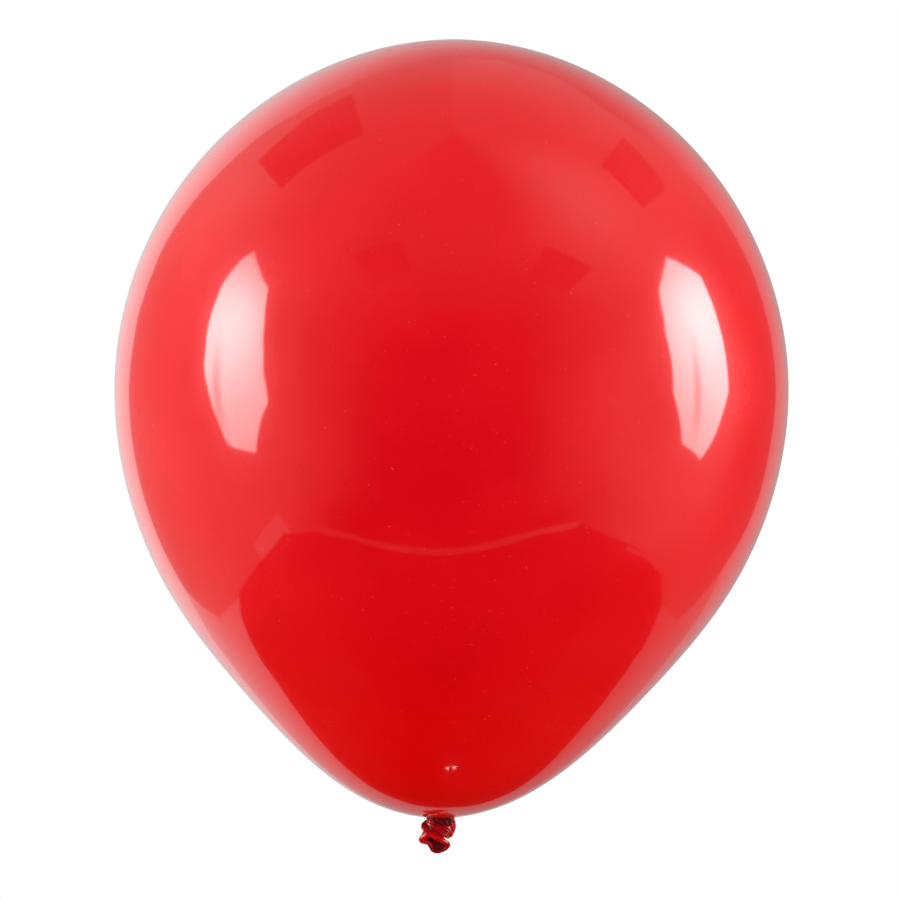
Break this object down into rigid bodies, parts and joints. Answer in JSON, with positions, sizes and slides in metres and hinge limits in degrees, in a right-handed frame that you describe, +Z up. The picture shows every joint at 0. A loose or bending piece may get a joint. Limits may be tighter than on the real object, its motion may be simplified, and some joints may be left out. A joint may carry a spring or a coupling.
{
  "type": "latex balloon",
  "caption": "Inflated round latex balloon, egg-shaped with a tapered throat, tied off with an overhand knot in its neck and ending in a short flared tail with a rolled bead.",
  "frame": {"origin": "on the neck's axis at the tie point, between the inflated skin and the knot, level with the lowest skin", "axes": "+Z up through the crown, with the knot below; +X to the right of someone who faces the open mouth of the tail; -Y towards them"},
  "size_m": [0.2901, 0.29, 0.3506],
  "materials": {
    "film": "smooth glossy stretched latex film, red",
    "neck_rubber": "unstretched latex, deeper red, satin to glossy"
  },
  "bodies": {
    "envelope": {"envelope": "film"},
    "neck": {"neck_stem": "neck_rubber"},
    "knot": {"knot_core": "neck_rubber", "knot_wrap": "neck_rubber"},
    "tail": {"tail": "neck_rubber", "rolled_lip": "neck_rubber"}
  },
  "joints": [
    {"name": "neck_twist", "type": "hinge", "parent": "envelope", "child": "neck", "pos_m": [0, 0, 0.0012], "axis": [0, 0, 1], "range_deg": [-90, 90], "stiffness_Nm_per_rad": 0.0001},
    {"name": "knot_tilt", "type": "hinge", "parent": "neck", "child": "knot", "pos_m": [0, 0, 0.0012], "axis": [0, 1, 0], "range_deg": [-12, 12], "stiffness_Nm_per_rad": 0.0003},
    {"name": "tail_flex", "type": "hinge", "parent": "knot", "child": "tail", "pos_m": [-0.0049, -0.0016, -0.0069], "axis": [0, 1, 0], "range_deg": [-10, 50], "stiffness_Nm_per_rad": 0.0001}
  ]
}
